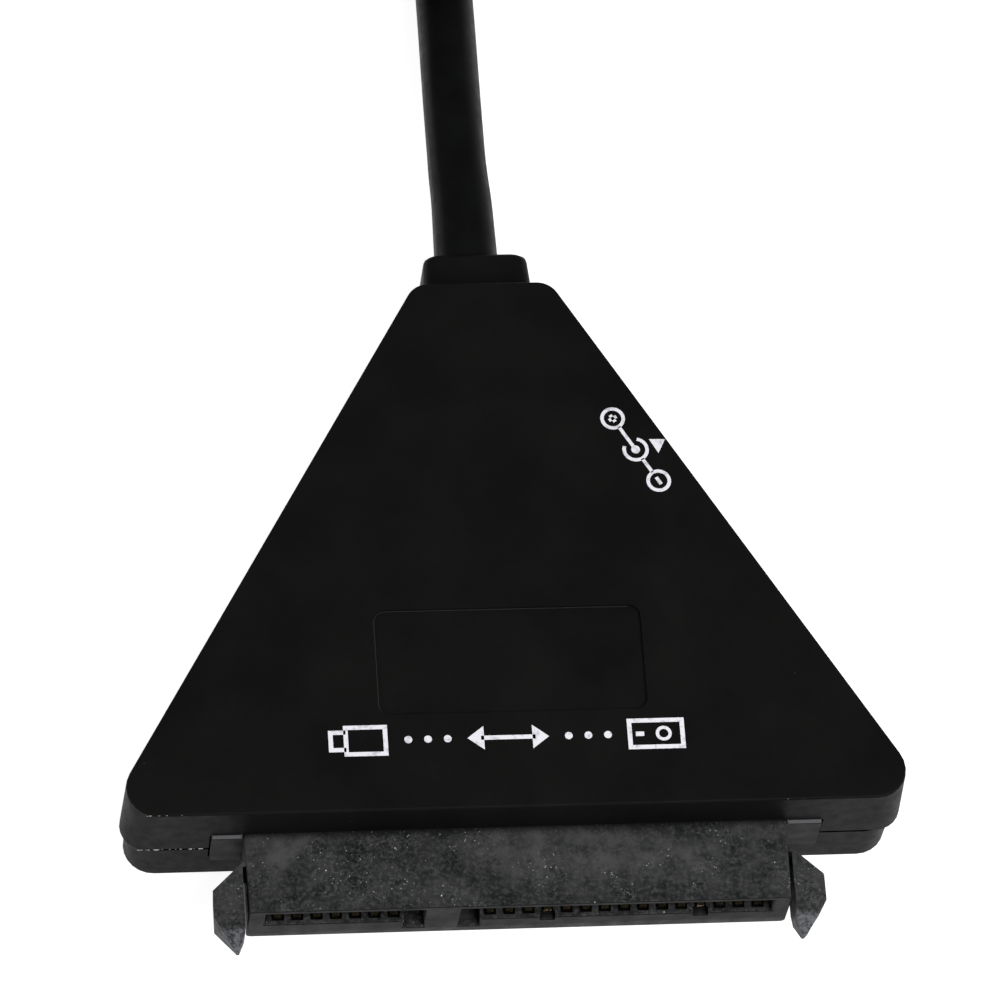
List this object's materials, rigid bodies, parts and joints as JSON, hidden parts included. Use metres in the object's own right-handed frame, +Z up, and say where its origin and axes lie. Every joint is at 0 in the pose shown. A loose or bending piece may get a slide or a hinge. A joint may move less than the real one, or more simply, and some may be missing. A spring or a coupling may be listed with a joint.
{
  "type": "usb to sata adapter",
  "caption": "Flat trapezoid drive adapter with a keyed drive connector and guide arms at its wide front, a power jack in one side, and a short cable with a plug.",
  "frame": {"origin": "below the middle of the adapter without its cord, on the plane that it rests on", "axes": "+X to the power end of the drive connector, +Y towards the cable, +Z up from the rest face; the drive connector's mouth faces -Y"},
  "size_m": [0.0789, 0.1366, 0.01],
  "materials": {
    "housing_black": "satin moulded",
    "connector_grey": "speckled glass-filled",
    "contact_gold": "gold plated",
    "board_green": "solder mask",
    "chip_black": "moulded epoxy",
    "ferrite": "sintered",
    "ceramic": "fired ceramic",
    "bright_metal": "nickel plated",
    "jack_black": "moulded",
    "rubber_black": "soft moulded",
    "cable_black": "extruded jacket",
    "tie_black": "satin",
    "tongue_blue": "moulded",
    "wire_black": "insulation",
    "wire_blue": "insulation",
    "wire_white": "insulation",
    "wire_green": "insulation",
    "wire_red": "insulation"
  },
  "bodies": {
    "root": {"lower_shell": "housing_black", "upper_shell": "housing_black", "drive_connector_housing": "connector_grey", "signal_contact_1": "contact_gold", "signal_contact_2": "contact_gold", "signal_contact_3": "contact_gold", "signal_contact_4": "contact_gold", "signal_contact_5": "contact_gold", "signal_contact_6": "contact_gold", "signal_contact_7": "contact_gold", "power_contact_1": "contact_gold", "power_contact_2": "contact_gold", "power_contact_3": "contact_gold", "power_contact_4": "contact_gold", "power_contact_5": "contact_gold", "power_contact_6": "contact_gold", "power_contact_7": "contact_gold", "power_contact_8": "contact_gold", "power_contact_9": "contact_gold", "power_contact_10": "contact_gold", "power_contact_11": "contact_gold", "power_contact_12": "contact_gold", "power_contact_13": "contact_gold", "power_contact_14": "contact_gold", "power_contact_15": "contact_gold", "circuit_board": "board_green", "bridge_chip": "chip_black", "memory_chip": "chip_black", "crystal": "bright_metal", "inductor": "ferrite", "voltage_regulator": "chip_black", "capacitor_1": "ceramic", "capacitor_2": "ceramic", "power_jack_housing": "jack_black", "power_jack_pin": "bright_metal", "power_jack_spring": "bright_metal", "cable_gland": "rubber_black", "ground_wire": "wire_black", "transmit_pair": "wire_blue", "data_pair": "wire_white", "receive_pair": "wire_green", "supply_wire": "wire_red", "cable": "cable_black", "cable_tail": "cable_black", "cable_coil": "cable_black", "cable_tie": "tie_black", "plug_overmould": "rubber_black", "plug_shell": "bright_metal", "plug_tongue": "tongue_blue", "plug_contact_1": "contact_gold", "plug_contact_2": "contact_gold", "plug_contact_3": "contact_gold", "plug_contact_4": "contact_gold", "plug_rear_contact_1": "contact_gold", "plug_rear_contact_2": "contact_gold", "plug_rear_contact_3": "contact_gold", "plug_rear_contact_4": "contact_gold", "plug_rear_contact_5": "contact_gold"}
  },
  "joints": []
}
